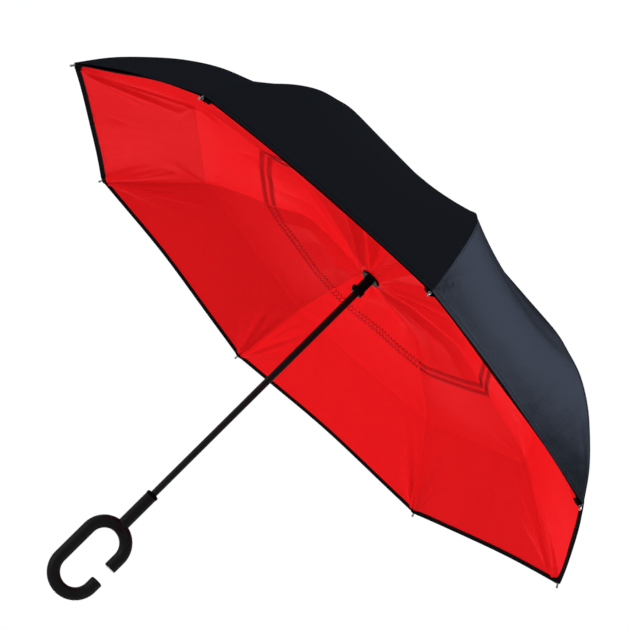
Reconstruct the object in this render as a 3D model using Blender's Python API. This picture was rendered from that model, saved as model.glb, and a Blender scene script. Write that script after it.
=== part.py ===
"""Inverted umbrella with two canopies, eight folding rib sets, a sliding runner and a C-shaped handle.

The origin is the centre of the handle's opening, on the shaft's axis, and +Z runs up to the crown.
The handle's C lies in the XZ plane with its mouth towards +X, and rib set 1 lies along +X.
"""
import math

import bmesh
import bpy
from mathutils import Matrix, Vector

# Canopy and linkage, in metres
RIB_COUNT = 8
CANOPY_RADIUS = 0.530
RIM_HEIGHT = 0.4795
CLEARANCE = 0.0003
PIVOT_RADIUS = 0.018

# Places of the pivots as shares of the canopy radius: out from the shaft, and up from the rim plane
NOTCH_RISE_SHARE = 0.4943
RUNNER_RISE_SHARE = 0.2151
KNEE_SHARES = (0.5698, 0.3521)
KNUCKLE_SHARES = (0.6900, 0.1970)

# Fabric
FABRIC_THICKNESS = 0.0008
SEAM_GAP = 0.0005
FABRIC_TO_ROD = 0.0033
HEM_SCALLOP_SHARE = 0.0116
HEM_CORNER_INSET = 0.0010
PANEL_STEPS = 6

# Links: a flat top strut, a flat bowed arm and an outer rib, side by side round each rib plane
LINK_WIDTH = 0.0060
LINK_THICKNESS = 0.0024
LEVER_THICKNESS = 0.0032
LAYER_GAP = 0.0004
ROD_DIAMETER = 0.0032
PIN_DIAMETER = 0.0020
PIN_HEAD_DIAMETER = 0.0044
PIN_HEAD_THICKNESS = 0.0008
ARM_TO_FABRIC = 0.0046
CRADLE_RAMP_DEG = 20

# Rib tip
TIP_DIAMETER = 0.0050
TIP_SLEEVE = 0.0120
TIP_NECK_DIAMETER = 0.0026
TIP_NECK = 0.0030
TIP_BALL_DIAMETER = 0.0040

# Hinge rings of the notch and the runner, and the wires through them
HINGE_DIAMETER = 0.043
HINGE_THICKNESS = 0.009
HINGE_WEB_DIAMETER = 0.026
WIRE_DIAMETER = 0.0014

# Shaft
SHAFT_DIAMETER = 0.0104
SHAFT_WALL = 0.0010

# Runner
SLEEVE_DIAMETER = 0.0160
SLEEVE_LENGTH = 0.0210
SLEEVE_TOP = 0.0030
FLANGE_DIAMETER = 0.0320
FLANGE_THICKNESS = 0.0028
COLLAR_DIAMETER = 0.0190
COLLAR_LENGTH = 0.0100
EDGE_CHAMFER = 0.0008

# Release button in the runner's collar
BUTTON_AZIMUTH_DEG = -157.5
BUTTON_WIDTH = 0.0050
BUTTON_HEIGHT = 0.0070
BUTTON_PRESSED_PROUD = 0.0016
BUTTON_TRAVEL = 0.0012
BUTTON_SEAT = 0.0013
BUTTON_FILLET = 0.0008
SPRING_STRIP = 0.0004
SPRING_WIDTH = 0.0030

# Crown
WASHER_DIAMETER = 0.032
WASHER_THICKNESS = 0.0010
CAP_DIAMETER = 0.024
CAP_HEIGHT = 0.0120
CAP_NUB_DIAMETER = 0.0140
CAP_FLAT_DIAMETER = 0.0080
CAP_RIM = 0.0020
CAP_BORE_DEPTH = 0.0070

# Handle
GRIP_HEIGHT = 0.1396
GRIP_WIDTH = 0.0820
GRIP_DIAMETER = 0.0191
MOUTH_GAP = 0.0245
MOUTH_DROP = 0.0035
NECK_DIAMETER = 0.0182
NECK_TOP = 0.1232
NECK_BORE_DEPTH = 0.048
NECK_COLLAR_DIAMETER = 0.0194
NECK_COLLAR_LENGTH = 0.0050
NECK_COLLAR_CHAMFER = 0.0012

# Overrun of every cutter past the wall that it cuts
OVERRUN = 0.002

# Faces round turned pieces
TURN_STEPS = 24
WIRE_STEPS = 32
SMALL_STEPS = 8
ROD_SIDES = 6
EYE_STEPS = 8
BEND_STEPS = 12
PROFILE_STEPS = 2

# Profiles of the two canopies over a rib, as shares of the canopy radius: (radius, rise)
OUTER_CROWN_SHARES = ((0.12, 0.4835), (0.28, 0.4406), (0.43, 0.4009))
OUTER_SLOPE_SHARES = ((0.57, 0.3635), (0.64, 0.3347), (0.72, 0.2957), (0.80, 0.2366), (0.87, 0.1683),
                      (0.94, 0.0878))
INNER_SHARES = ((0.14, 0.235), (0.24, 0.251), (0.33, 0.256), (0.44, 0.229), (0.56, 0.208),
                (0.69, 0.188))

# How far the middle of a gore stands out from the chord between its ribs: (radius, bulge)
OUTER_BULGE_SHARES = ((0.05, 0), (0.12, -0.0030), (0.28, -0.0074), (0.43, -0.0138), (0.57, -0.0245),
                      (0.68, -0.0294), (0.80, -0.0162), (0.90, 0.0009), (1.00, 0.0177))
INNER_BULGE_SHARES = ((0.69, 0), (0.85, 0.0030), (1.00, 0.0150))

# Worked out from the sizes above
HALF_WIRE = WIRE_DIAMETER / 2
LAYER = (LEVER_THICKNESS + LINK_THICKNESS) / 2 + LAYER_GAP
WIRE_RING_RADIUS = math.hypot(PIVOT_RADIUS, LAYER)
PIN_HOLE_RADIUS = PIN_DIAMETER / 2 + CLEARANCE
WIRE_HOLE_RADIUS = HALF_WIRE + 2 * CLEARANCE
SHAFT_HOLE_RADIUS = SHAFT_DIAMETER / 2 + CLEARANCE
NOTCH_Z = RIM_HEIGHT + NOTCH_RISE_SHARE * CANOPY_RADIUS
RUNNER_Z = RIM_HEIGHT + RUNNER_RISE_SHARE * CANOPY_RADIUS
NOTCH_TOP = NOTCH_Z + HINGE_THICKNESS / 2
HUB_BOTTOM = RUNNER_Z - HINGE_THICKNESS / 2
FABRIC_SEAT = FABRIC_THICKNESS / 2 + CLEARANCE
FLANGE_TOP = HUB_BOTTOM - 2 * FABRIC_SEAT
FLANGE_BOTTOM = FLANGE_TOP - FLANGE_THICKNESS
COLLAR_TOP = FLANGE_BOTTOM - SLEEVE_LENGTH
COLLAR_BOTTOM = COLLAR_TOP - COLLAR_LENGTH
BUTTON_PROUD = BUTTON_PRESSED_PROUD + BUTTON_TRAVEL
GRIP_RADIUS = GRIP_DIAMETER / 2


def clear_scene():
    """Remove every object, so that the model starts from nothing."""
    for old in list(bpy.data.objects):
        bpy.data.objects.remove(old, do_unlink=True)


def srgb(hex_code):
    """Turn an sRGB hex colour to a linear RGBA tuple."""
    channels = (int(hex_code[i:i + 2], 16) / 255 for i in (0, 2, 4))
    linear = (c / 12.92 if c <= 0.04045 else ((c + 0.055) / 1.055) ** 2.4 for c in channels)
    return (*linear, 1.0)


def material(name, hex_code, roughness, metallic):
    """Give a plain material of one colour."""
    made = bpy.data.materials.new(name)
    made.use_nodes = True
    shader = made.node_tree.nodes["Principled BSDF"]
    shader.inputs["Base Color"].default_value = srgb(hex_code)
    shader.inputs["Roughness"].default_value = roughness
    shader.inputs["Metallic"].default_value = metallic
    return made


def make_object(name, mesh, finish, location=(0, 0, 0), turn=0.0):
    """Put a mesh in the scene under a name, turned about Z."""
    node = bpy.data.objects.new(name, mesh)
    bpy.context.collection.objects.link(node)
    node.location = location
    node.rotation_euler.z = turn
    if not mesh.materials:
        mesh.materials.append(finish)
    return node


def to_mesh(name, shape, smooth_angle=None):
    """Close a bmesh into a named mesh with outward faces."""
    bmesh.ops.remove_doubles(shape, verts=shape.verts, dist=CLEARANCE / 100)
    bmesh.ops.recalc_face_normals(shape, faces=shape.faces)
    mesh = bpy.data.meshes.new(name)
    shape.to_mesh(mesh)
    shape.free()
    if smooth_angle:
        mesh.shade_smooth()
        mesh.set_sharp_from_angle(angle=math.radians(smooth_angle))
    return mesh


def turned(name, profile, steps=TURN_STEPS, axis=(0, 0, 1)):
    """Turn a closed outline of (radius, height) points about Z, or a small piece about X."""
    shape = bmesh.new()
    along_x = axis[0] == 1
    places = [Vector((h, 0, r)) if along_x else Vector((r, 0, h)) for r, h in profile]
    verts = [shape.verts.new(place) for place in places]
    edges = [shape.edges.new((verts[i - 1], verts[i])) for i in range(len(verts))
             if profile[i - 1][0] > 0 or profile[i][0] > 0]
    bmesh.ops.spin(shape, geom=verts + edges, cent=(0, 0, 0), axis=axis, angle=math.tau,
                   steps=steps, use_merge=True, use_duplicate=False)
    return to_mesh(name, shape, smooth_angle=35)


def swept(name, path, radius, sides):
    """Sweep a round section along a path in the XZ plane and cap its ends."""
    shape = bmesh.new()
    rings = []
    for i, point in enumerate(path):
        ahead = path[min(i + 1, len(path) - 1)] - path[max(i - 1, 0)]
        along = ahead.normalized()
        side = Vector((-along.z, 0, along.x))
        ring = []
        for j in range(sides):
            angle = math.tau * (j + 0.5) / sides
            offset = side * math.cos(angle) + Vector((0, 1, 0)) * math.sin(angle)
            ring.append(shape.verts.new(point + offset * radius))
        rings.append(ring)
    for ring, following in zip(rings, rings[1:]):
        for j in range(sides):
            after = (j + 1) % sides
            shape.faces.new((ring[j], ring[after], following[after], following[j]))
    shape.faces.new(rings[0])
    shape.faces.new(rings[-1])
    return to_mesh(name, shape, smooth_angle=50)


def plate(name, outline, holes, middle, thickness):
    """Cut a flat plate with round holes, standing in the XZ plane at a distance along Y."""
    shape = bmesh.new()
    low = middle - thickness / 2
    loops = [outline] + [circle(centre, radius, EYE_STEPS) for centre, radius in holes]
    edges = []
    for loop in loops:
        verts = [shape.verts.new((point.x, low, point.z)) for point in loop]
        edges += [shape.edges.new((verts[i - 1], verts[i])) for i in range(len(verts))]
    bmesh.ops.triangle_fill(shape, use_beauty=True, edges=edges, normal=(0, -1, 0))
    raised = bmesh.ops.extrude_face_region(shape, geom=list(shape.faces))
    moved = [item for item in raised["geom"] if isinstance(item, bmesh.types.BMVert)]
    bmesh.ops.translate(shape, verts=moved, vec=(0, thickness, 0))
    return to_mesh(name, shape)


def circle(centre, radius, steps):
    """Give points round a circle in the XZ plane."""
    angles = [math.tau * i / steps for i in range(steps)]
    return [centre + Vector((math.cos(a), 0, math.sin(a))) * radius for a in angles]


def pin_mesh(centre, start, end, diameter):
    """Make a round pin along Y from start to end."""
    shape = bmesh.new()
    rings = [[shape.verts.new((p.x, y, p.z)) for p in circle(centre, diameter / 2, SMALL_STEPS)]
             for y in (start, end)]
    for j in range(SMALL_STEPS):
        after = (j + 1) % SMALL_STEPS
        shape.faces.new((rings[0][j], rings[0][after], rings[1][after], rings[1][j]))
    shape.faces.new(rings[0])
    shape.faces.new(rings[1])
    return to_mesh("pin", shape)


def box_mesh(low, high, turns=(0.0,)):
    """Make one box from corner to corner, repeated at each turn about Z."""
    shape = bmesh.new()
    middle = (Vector(low) + Vector(high)) / 2
    size = Vector(high) - Vector(low)
    for turn in turns:
        place = Matrix.Rotation(turn, 4, "Z") @ Matrix.Translation(middle) @ Matrix.Diagonal((*size, 1))
        bmesh.ops.create_cube(shape, size=1, matrix=place)
    return to_mesh("box", shape)


def combined(name, base, others, operation, smooth_angle=None):
    """Join meshes to a base, or cut them from it, and give the resulting mesh."""
    body = bpy.data.objects.new(name, base)
    bpy.context.collection.objects.link(body)
    tools = []
    for mesh in others:
        tool = bpy.data.objects.new("tool", mesh)
        bpy.context.collection.objects.link(tool)
        tool.hide_render = True
        tool.display_type = "WIRE"
        step = body.modifiers.new("step", "BOOLEAN")
        step.operation = operation
        step.solver = "EXACT"
        step.object = tool
        tools.append(tool)
    view = bpy.context.evaluated_depsgraph_get()
    result = bpy.data.meshes.new_from_object(body.evaluated_get(view))
    result.name = name
    for item in [body] + tools:
        bpy.data.objects.remove(item, do_unlink=True)
    if smooth_angle:
        result.shade_smooth()
        result.set_sharp_from_angle(angle=math.radians(smooth_angle))
    return result


def rib_turn(index):
    """Give the angle of a rib plane about Z."""
    return math.tau * index / RIB_COUNT


def at_rib(index, radius, height):
    """Give the world place of a point in a rib plane."""
    turn = rib_turn(index)
    return Vector((radius * math.cos(turn), radius * math.sin(turn), height))


def from_shares(shares):
    """Turn profile shares to points in the rib plane."""
    return [Vector((r * CANOPY_RADIUS, 0, RIM_HEIGHT + z * CANOPY_RADIUS)) for r, z in shares]


def bent(points, steps_each):
    """Run a smooth curve through points of the rib plane."""
    ends = [2 * points[0] - points[1]] + list(points) + [2 * points[-1] - points[-2]]
    curve = []
    for before, start, end, after in zip(ends, ends[1:], ends[2:], ends[3:]):
        for i in range(steps_each):
            t = i / steps_each
            ease = (2 * start + (end - before) * t
                    + (2 * before - 5 * start + 4 * end - after) * t ** 2
                    + (3 * start - before - 3 * end + after) * t ** 3)
            curve.append(ease / 2)
    return curve + [points[-1]]


def shifted(path, distance):
    """Move a path sideways in its plane, to its upper side where the distance is positive."""
    moved = []
    for i, point in enumerate(path):
        along = (path[min(i + 1, len(path) - 1)] - path[max(i - 1, 0)]).normalized()
        moved.append(point + Vector((-along.z, 0, along.x)) * distance)
    return moved


def corner_radius(diameter):
    """Give the radius of a panel ring's corners, whose flats clear a round piece."""
    return (diameter / 2 + 2 * CLEARANCE) / math.cos(math.pi / RIB_COUNT)


def outer_corner():
    """Give the corner of the outer fabric over the rib tip."""
    return Vector((CANOPY_RADIUS - HEM_CORNER_INSET, 0, RIM_HEIGHT))


def outer_profile():
    """Give the outer fabric's line over a rib, from the crown to the corner."""
    seat = NOTCH_TOP + FABRIC_SEAT
    crown = [Vector((corner_radius(SHAFT_DIAMETER), 0, seat)),
             Vector((corner_radius(HINGE_DIAMETER), 0, seat))]
    slope = from_shares(OUTER_CROWN_SHARES + OUTER_SLOPE_SHARES) + [outer_corner()]
    return crown + bent(slope, PROFILE_STEPS)


def inner_profile():
    """Give the inner fabric's line under a rib, from the runner to the corner."""
    seat = HUB_BOTTOM - FABRIC_SEAT
    hub = [Vector((corner_radius(SLEEVE_DIAMETER), 0, seat)),
           Vector((corner_radius(HINGE_DIAMETER), 0, seat))]
    across_rod = shifted(outer_profile()[-2:], -2 * FABRIC_TO_ROD)[-1]
    return hub + bent(from_shares(INNER_SHARES), PROFILE_STEPS) + [across_rod]


def bulge_at(shares, radius):
    """Give the bulge of the middle of a gore at a radius."""
    for (near, start), (far, end) in zip(shares, shares[1:]):
        if near * CANOPY_RADIUS < radius <= far * CANOPY_RADIUS:
            along = (radius / CANOPY_RADIUS - near) / (far - near)
            return (start + (end - start) * along) * CANOPY_RADIUS
    return 0


def panel_mesh(name, profile, bulges, hem_points):
    """Make one panel of fabric between two ribs, curved and drawn in between them."""
    shape = bmesh.new()
    turn = Matrix.Rotation(rib_turn(1), 3, "Z")
    half_turn = Matrix.Rotation(rib_turn(1) / 2, 3, "Z")
    rows = []
    for i, (point, above) in enumerate(zip(profile, shifted(profile, 1))):
        far = turn @ point
        bulge = half_turn @ (above - point) * bulge_at(bulges, point.x)
        margin = SEAM_GAP / 2 / (far - point).length
        into_hem = max(0, i - (len(profile) - 1 - hem_points)) / hem_points
        row = []
        for j in range(PANEL_STEPS + 1):
            across = margin + (1 - 2 * margin) * j / PANEL_STEPS
            middle = 4 * across * (1 - across)
            place = point.lerp(far, across) + bulge * middle
            draw = 1 - HEM_SCALLOP_SHARE * into_hem ** 2 * middle
            row.append(shape.verts.new((place.x * draw, place.y * draw, place.z)))
        rows.append(row)
    for row, following in zip(rows, rows[1:]):
        for j in range(PANEL_STEPS):
            shape.faces.new((row[j], following[j], following[j + 1], row[j + 1]))
    mesh = to_mesh(name, shape)
    mesh.shade_smooth()
    return mesh


def make_panels(black, red):
    """Lay the eight panels of each canopy, as thin sheets."""
    outer = panel_mesh("outer_panel", outer_profile(), OUTER_BULGE_SHARES,
                       len(OUTER_SLOPE_SHARES) * PROFILE_STEPS)
    inner = panel_mesh("inner_panel", inner_profile(), INNER_BULGE_SHARES, len(INNER_SHARES))
    for kind, mesh, finish in (("outer", outer, black), ("inner", inner, red)):
        for index in range(RIB_COUNT):
            panel = make_object(f"{kind}_panel_{index + 1}", mesh, finish, turn=rib_turn(index))
            sheet = panel.modifiers.new("sheet", "SOLIDIFY")
            sheet.thickness = FABRIC_THICKNESS
            sheet.offset = 0


def bar_outline(path, width, eye_start=True):
    """Outline a bar along a path with round ends, or with a cradle for the wire at its start."""
    half = width / 2
    upper = shifted(path, half)
    lower = shifted(path, -half)
    end_along = (path[-1] - path[-2]).normalized()
    turn = math.atan2(end_along.z, end_along.x)
    end = [path[-1] + Vector((math.cos(turn + a), 0, math.sin(turn + a))) * half
           for a in (math.pi * (i / EYE_STEPS * 2 - 0.5) for i in range(1, EYE_STEPS // 2))]
    if eye_start:
        start_along = (path[1] - path[0]).normalized()
        back = math.atan2(start_along.z, start_along.x) + math.pi
        start = [path[0] + Vector((math.cos(back + a), 0, math.sin(back + a))) * half
                 for a in (math.pi * (i / EYE_STEPS * 2 - 0.5) for i in range(1, EYE_STEPS // 2))]
        return lower + end + upper[::-1] + start
    gap = WIRE_HOLE_RADIUS
    lip = Vector((-gap - half / 2, 0, 0))
    ramp_run = half * (2 + gap / half) / math.tan(math.radians(CRADLE_RAMP_DEG))
    cradle = [Vector((gap * math.cos(a), 0, gap * math.sin(a)))
              for a in (math.radians(d) for d in (-45, -90, -135, -180))]
    root = [path[0] + p for p in cradle + [Vector((-gap, 0, gap / 2)), lip + Vector((0, 0, gap / 2))]]
    foot = path[0] + lip - Vector((0, 0, half))
    clear = [p for p in upper if p.x > path[0].x + ramp_run]
    return [foot] + lower[1:] + end + clear[::-1] + root


def make_struts(steel):
    """Hang the eight top struts on the notch."""
    start = Vector((PIVOT_RADIUS, 0, NOTCH_Z))
    end = from_shares([KNEE_SHARES])[0] - start
    origin = Vector((0, 0, 0))
    outline = bar_outline([origin, end], LINK_WIDTH)
    holes = [(origin, WIRE_HOLE_RADIUS), (end, PIN_HOLE_RADIUS)]
    mesh = plate("top_strut", outline, holes, -LAYER, LINK_THICKNESS)
    for index in range(RIB_COUNT):
        place = at_rib(index, start.x, start.z)
        make_object(f"top_strut_{index + 1}", mesh, steel, place, rib_turn(index))


def make_arms(steel):
    """Run the eight lower arms along the inner fabric from the runner to the knuckles."""
    knuckle = from_shares([KNUCKLE_SHARES])[0]
    root = Vector((PIVOT_RADIUS, 0, RUNNER_Z))
    run = [p for p in shifted(inner_profile(), ARM_TO_FABRIC)
           if root.x + 2 * LINK_WIDTH < p.x < knuckle.x - LINK_WIDTH]
    path = [root - knuckle] + [p - knuckle for p in run] + [Vector((0, 0, 0))]
    outline = bar_outline(path, LINK_WIDTH, eye_start=False)
    mesh = plate("lower_arm", outline, [(path[-1], PIN_HOLE_RADIUS)], LAYER, LINK_THICKNESS)
    for index in range(RIB_COUNT):
        place = at_rib(index, knuckle.x, knuckle.z)
        make_object(f"lower_arm_{index + 1}", mesh, steel, place, rib_turn(index))


def rod_path():
    """Give the outer rib's rod under the outer fabric, from the knee to the tip's socket."""
    knee = from_shares([KNEE_SHARES])[0]
    under = shifted(outer_profile(), -FABRIC_TO_ROD)
    return [knee] + [point for point in under if point.x > knee.x + LINK_WIDTH]


def make_outer_ribs(steel):
    """Make the eight outer ribs: a lever between knee and knuckle, a sprung rod and two pins."""
    knee, knuckle_place = from_shares([KNEE_SHARES, KNUCKLE_SHARES])
    origin = Vector((0, 0, 0))
    knuckle = knuckle_place - knee
    lever = plate("outer_rib", bar_outline([origin, knuckle], LINK_WIDTH), [], 0, LEVER_THICKNESS)
    rod = swept("rod", [p - knee for p in rod_path()], ROD_DIAMETER / 2, ROD_SIDES)
    head = LAYER + LINK_THICKNESS / 2 + CLEARANCE
    end = head + PIN_HEAD_THICKNESS
    parts = [rod]
    for centre, side in ((origin, -1), (knuckle, 1)):
        parts.append(pin_mesh(centre, 0, side * (head + PIN_HEAD_THICKNESS / 2), PIN_DIAMETER))
        parts.append(pin_mesh(centre, side * head, side * end, PIN_HEAD_DIAMETER))
    mesh = combined("outer_rib", lever, parts, "UNION")
    for index in range(RIB_COUNT):
        place = at_rib(index, knee.x, knee.z)
        make_object(f"outer_rib_{index + 1}", mesh, steel, place, rib_turn(index))


def make_tips(steel):
    """Cap each outer rib with a socket, a neck and a small ball."""
    bore = ROD_DIAMETER / 2 + CLEARANCE
    ball = TIP_BALL_DIAMETER / 2
    ball_middle = TIP_NECK + ball
    round_end = [(ball * math.sin(a), ball_middle - ball * math.cos(a))
                 for a in (math.pi * i / SMALL_STEPS * 2 for i in range(1, SMALL_STEPS // 2))]
    profile = [(bore, -TIP_SLEEVE), (TIP_DIAMETER / 2, -TIP_SLEEVE), (TIP_DIAMETER / 2, 0),
               (TIP_NECK_DIAMETER / 2, CLEARANCE)] + round_end[1:]
    profile += [(0, ball_middle + ball), (0, -CLEARANCE), (bore, -CLEARANCE)]
    mesh = turned("rib_tip", profile, SMALL_STEPS, axis=(1, 0, 0))
    path = rod_path()
    along = (path[-1] - path[-2]).normalized()
    mesh.transform(Matrix.Rotation(-math.atan2(along.z, along.x), 4, "Y"))
    seat = path[-1] + along * 2 * CLEARANCE
    for index in range(RIB_COUNT):
        place = at_rib(index, seat.x, seat.z)
        make_object(f"rib_tip_{index + 1}", mesh, steel, place, rib_turn(index))


def hinge_ring(name, height, bore):
    """Make a ring with a slot for each link and a groove for the hinge wire."""
    half = HINGE_THICKNESS / 2
    outer = HINGE_DIAMETER / 2
    ring = turned(name, [(bore, half), (outer - EDGE_CHAMFER, half), (outer, half - EDGE_CHAMFER),
                         (outer, EDGE_CHAMFER - half), (outer - EDGE_CHAMFER, -half), (bore, -half)])
    side = -LAYER if height > RUNNER_Z else LAYER
    width = LINK_THICKNESS / 2 + LAYER_GAP
    turns = [rib_turn(index) for index in range(RIB_COUNT)]
    slots = box_mesh((HINGE_WEB_DIAMETER / 2, side - width, -half - OVERRUN),
                     (outer + OVERRUN, side + width, half + OVERRUN), turns)
    groove_half = HALF_WIRE + CLEARANCE
    inner = WIRE_RING_RADIUS - groove_half
    edge = WIRE_RING_RADIUS + groove_half
    groove = turned("groove", [(inner, half + OVERRUN), (edge, half + OVERRUN),
                               (edge, -groove_half), (inner, -groove_half)])
    mesh = combined(name, ring, [slots, groove], "DIFFERENCE", smooth_angle=35)
    mesh.transform(Matrix.Translation((0, 0, height)))
    return mesh


def wire_ring(name, height):
    """Make the closed hinge wire that runs through the links' eyes."""
    section = [(WIRE_RING_RADIUS + HALF_WIRE * math.cos(a), height + HALF_WIRE * math.sin(a))
               for a in (math.tau * i / ROD_SIDES for i in range(ROD_SIDES))]
    return turned(name, section, WIRE_STEPS)


def make_shaft(finish):
    """Run the tubular shaft from the handle's neck to the crown cap."""
    outer = SHAFT_DIAMETER / 2
    inner = outer - SHAFT_WALL
    bottom = NECK_TOP - NECK_BORE_DEPTH + CLEARANCE
    top = cap_bottom() + CAP_BORE_DEPTH - CLEARANCE
    profile = [(inner, top), (outer, top), (outer, bottom), (inner, bottom)]
    make_object("shaft", turned("shaft", profile, TURN_STEPS), finish)


def washer_bottom():
    """Give the height of the washer's lower face on the outer fabric."""
    return NOTCH_TOP + 2 * FABRIC_SEAT


def cap_bottom():
    """Give the height of the crown cap's lower face."""
    return washer_bottom() + WASHER_THICKNESS + CLEARANCE


def make_crown(notch_finish, wire_finish, cap_finish):
    """Stack the notch, its wire, the washer on the fabric and the cap on the shaft's top."""
    make_object("top_notch", hinge_ring("top_notch", NOTCH_Z, SHAFT_HOLE_RADIUS), notch_finish)
    make_object("notch_wire", wire_ring("notch_wire", NOTCH_Z), wire_finish)
    low = washer_bottom()
    high = low + WASHER_THICKNESS
    edge = WASHER_DIAMETER / 2
    washer = [(SHAFT_HOLE_RADIUS, high), (edge - WASHER_THICKNESS, high), (edge, low),
              (SHAFT_HOLE_RADIUS, low)]
    make_object("canopy_washer", turned("canopy_washer", washer), cap_finish)
    base = cap_bottom()
    rim = CAP_DIAMETER / 2
    nub = CAP_NUB_DIAMETER / 2
    flat = CAP_FLAT_DIAMETER / 2
    round_over = nub - flat
    shoulder = base + CAP_HEIGHT - round_over
    dome = [(flat + round_over * math.sin(a), shoulder + round_over * math.cos(a))
            for a in (math.pi / SMALL_STEPS * i for i in range(SMALL_STEPS // 2 + 1))]
    cap = [(0, base + CAP_HEIGHT)] + dome + [
        (nub, base + 2 * CAP_RIM), (rim, base + CAP_RIM), (rim, base), (SHAFT_HOLE_RADIUS, base),
        (SHAFT_HOLE_RADIUS, base + CAP_BORE_DEPTH), (0, base + CAP_BORE_DEPTH)]
    make_object("crown_cap", turned("crown_cap", cap), cap_finish)


def make_runner(finish, wire_finish):
    """Make the runner: a sleeve with flange and collar, and the hinge ring on top of it."""
    bore = SHAFT_HOLE_RADIUS
    sleeve = SLEEVE_DIAMETER / 2
    collar = COLLAR_DIAMETER / 2
    flange = FLANGE_DIAMETER / 2
    top = RUNNER_Z + HINGE_THICKNESS / 2 + SLEEVE_TOP
    profile = [(bore, top), (sleeve - EDGE_CHAMFER, top), (sleeve, top - EDGE_CHAMFER),
               (sleeve, FLANGE_TOP), (flange, FLANGE_TOP), (flange, FLANGE_BOTTOM + EDGE_CHAMFER),
               (flange - EDGE_CHAMFER, FLANGE_BOTTOM), (sleeve, FLANGE_BOTTOM),
               (sleeve, COLLAR_TOP), (collar - EDGE_CHAMFER, COLLAR_TOP),
               (collar, COLLAR_TOP - EDGE_CHAMFER), (collar, COLLAR_BOTTOM + EDGE_CHAMFER),
               (collar - EDGE_CHAMFER, COLLAR_BOTTOM), (bore, COLLAR_BOTTOM)]
    body = turned("runner_sleeve", profile)
    turn = math.radians(BUTTON_AZIMUTH_DEG)
    middle = button_height()
    half_wide = BUTTON_WIDTH / 2 + CLEARANCE
    half_high = BUTTON_HEIGHT / 2 + CLEARANCE
    pocket = box_mesh((SHAFT_DIAMETER / 2 - OVERRUN, -half_wide, middle - half_high),
                      (collar + OVERRUN, half_wide, middle + half_high), [turn])
    body = combined("runner_sleeve", body, [pocket], "DIFFERENCE", smooth_angle=35)
    make_object("runner_sleeve", body, finish)
    hub_bore = sleeve + CLEARANCE
    make_object("runner_hub", hinge_ring("runner_hub", RUNNER_Z, hub_bore), finish)
    make_object("runner_wire", wire_ring("runner_wire", RUNNER_Z), wire_finish)


def button_height():
    """Give the height of the release button's middle, in the runner's collar."""
    return (COLLAR_TOP + COLLAR_BOTTOM) / 2


def make_button(finish, spring_finish):
    """Make the release button and the bowed leaf spring behind it."""
    turn = math.radians(BUTTON_AZIMUTH_DEG)
    face = COLLAR_DIAMETER / 2 + BUTTON_PROUD
    back = COLLAR_DIAMETER / 2 - BUTTON_SEAT
    middle = button_height()
    half = Vector((0, BUTTON_WIDTH / 2, BUTTON_HEIGHT / 2))
    mesh = box_mesh((back - face, -half.y, -half.z), (0, half.y, half.z))
    place = Vector((face * math.cos(turn), face * math.sin(turn), middle))
    button = make_object("release_button", mesh, finish, place, turn)
    edge = button.modifiers.new("edge", "BEVEL")
    edge.width = BUTTON_FILLET
    edge.segments = 1
    low = SHAFT_DIAMETER / 2 + CLEARANCE + SPRING_STRIP / 2
    high = back - CLEARANCE - SPRING_STRIP / 2
    reach = BUTTON_HEIGHT / 2 - CLEARANCE
    bow = [Vector((low + (high - low) * math.cos(math.pi / 2 * u) ** 2, 0, reach * u))
           for u in (i / EYE_STEPS * 2 - 1 for i in range(EYE_STEPS + 1))]
    outline = shifted(bow, SPRING_STRIP / 2) + shifted(bow, -SPRING_STRIP / 2)[::-1]
    strip = plate("button_spring", outline, [], 0, SPRING_WIDTH)
    make_object("button_spring", strip, spring_finish, Vector((0, 0, middle)), turn)


def grip_path():
    """Give the centre line of the C, from the mouth's upper end round to its lower end."""
    half_wide = GRIP_WIDTH / 2 - GRIP_RADIUS
    half_straight = GRIP_HEIGHT / 2 - GRIP_RADIUS - half_wide
    arcs = [(half_straight, 0), (-half_straight, math.pi)]
    points = [Vector((half_wide, 0, MOUTH_GAP / 2 - MOUTH_DROP))]
    for height, start in arcs:
        for i in range(BEND_STEPS + 1):
            angle = start + math.pi * i / BEND_STEPS
            points.append(Vector((math.cos(angle), 0, math.sin(angle))) * half_wide
                          + Vector((0, 0, height)))
    return points + [Vector((half_wide, 0, -MOUTH_GAP / 2 - MOUTH_DROP))]


def make_handle(finish, collar_finish):
    """Make the C-shaped grip with its neck, bored for the shaft, and the collar on the neck."""
    loop = swept("handle_grip", grip_path(), GRIP_RADIUS, TURN_STEPS // 2)
    top = GRIP_HEIGHT / 2 - GRIP_RADIUS
    neck = turned("neck", [(0, NECK_TOP), (NECK_DIAMETER / 2, NECK_TOP), (NECK_DIAMETER / 2, top),
                           (0, top)])
    bore = turned("bore", [(0, NECK_TOP + OVERRUN), (SHAFT_HOLE_RADIUS, NECK_TOP + OVERRUN),
                           (SHAFT_HOLE_RADIUS, NECK_TOP - NECK_BORE_DEPTH),
                           (0, NECK_TOP - NECK_BORE_DEPTH)])
    grip = combined("handle_grip", loop, [neck], "UNION")
    grip = combined("handle_grip", grip, [bore], "DIFFERENCE", smooth_angle=35)
    make_object("handle_grip", grip, finish)
    low = NECK_TOP + CLEARANCE
    high = low + NECK_COLLAR_LENGTH
    edge = NECK_COLLAR_DIAMETER / 2
    chamfer = NECK_COLLAR_CHAMFER
    collar = [(SHAFT_HOLE_RADIUS, high), (edge - chamfer, high), (edge, high - chamfer),
              (edge, low + chamfer / 2), (edge - chamfer / 2, low), (SHAFT_HOLE_RADIUS, low)]
    make_object("neck_collar", turned("neck_collar", collar), collar_finish)


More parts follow.
